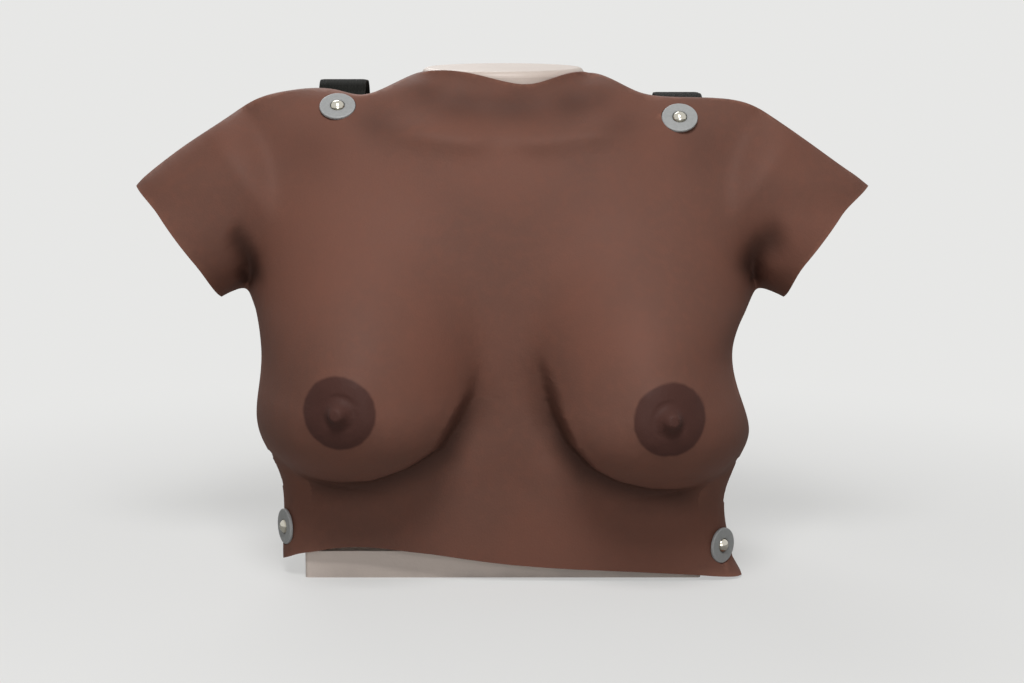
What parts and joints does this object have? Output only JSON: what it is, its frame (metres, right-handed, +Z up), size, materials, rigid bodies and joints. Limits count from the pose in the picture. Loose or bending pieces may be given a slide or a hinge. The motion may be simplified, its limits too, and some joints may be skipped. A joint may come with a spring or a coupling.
{
  "type": "breast examination trainer",
  "caption": "Clinical training torso: soft brown elastomer skin with two filled breasts over a cream hard torso support, held by domed rivets, washers and black webbing straps.",
  "frame": {"origin": "middle of the whole part's box, on the floor under the support's flat base", "axes": "+X across the body from the viewer's left to right, -Y to the front where the breasts point, +Z up to the neck"},
  "size_m": [0.473, 0.2356, 0.3183],
  "materials": {
    "brown_skin": "soft matt elastomer skin, light pebbled grain",
    "cream_support": "smooth hard cream plastic, faint orange peel",
    "grey_washer": "moulded grey nylon, satin",
    "bright_rivet": "polished nickel dome",
    "steel_backing": "plain stamped steel",
    "black_webbing": "flat woven black webbing",
    "black_slider": "moulded black acetal",
    "soft_filling": "soft pale gel filling",
    "lump": "firm elastomer lump"
  },
  "bodies": {
    "torso": {"left_breast_filling": "soft_filling", "left_deep_lump": "lump", "left_flank_backing_washer": "steel_backing", "left_flank_rivet": "bright_rivet", "left_flank_washer": "grey_washer", "left_round_lump": "lump", "left_shoulder_backing_washer": "steel_backing", "left_shoulder_rivet": "bright_rivet", "left_shoulder_strap": "black_webbing", "left_shoulder_washer": "grey_washer", "left_smooth_lump": "lump", "right_breast_filling": "soft_filling", "right_deep_lump": "lump", "right_flank_backing_washer": "steel_backing", "right_flank_rivet": "bright_rivet", "right_flank_washer": "grey_washer", "right_round_lump": "lump", "right_shoulder_backing_washer": "steel_backing", "right_shoulder_rivet": "bright_rivet", "right_shoulder_strap": "black_webbing", "right_shoulder_washer": "grey_washer", "right_smooth_lump": "lump", "torso_skin": "brown_skin", "torso_support": "cream_support", "waist_strap": "black_webbing"},
    "left_slider": {"left_strap_slider": "black_slider"},
    "right_slider": {"right_strap_slider": "black_slider"}
  },
  "joints": [
    {"name": "left_slider_travel", "type": "slide", "parent": "torso", "child": "left_slider", "axis": [0, 0, 1], "range_m": [-0.06, 0.06]},
    {"name": "right_slider_travel", "type": "slide", "parent": "torso", "child": "right_slider", "axis": [0, 0, 1], "range_m": [-0.06, 0.06]}
  ]
}
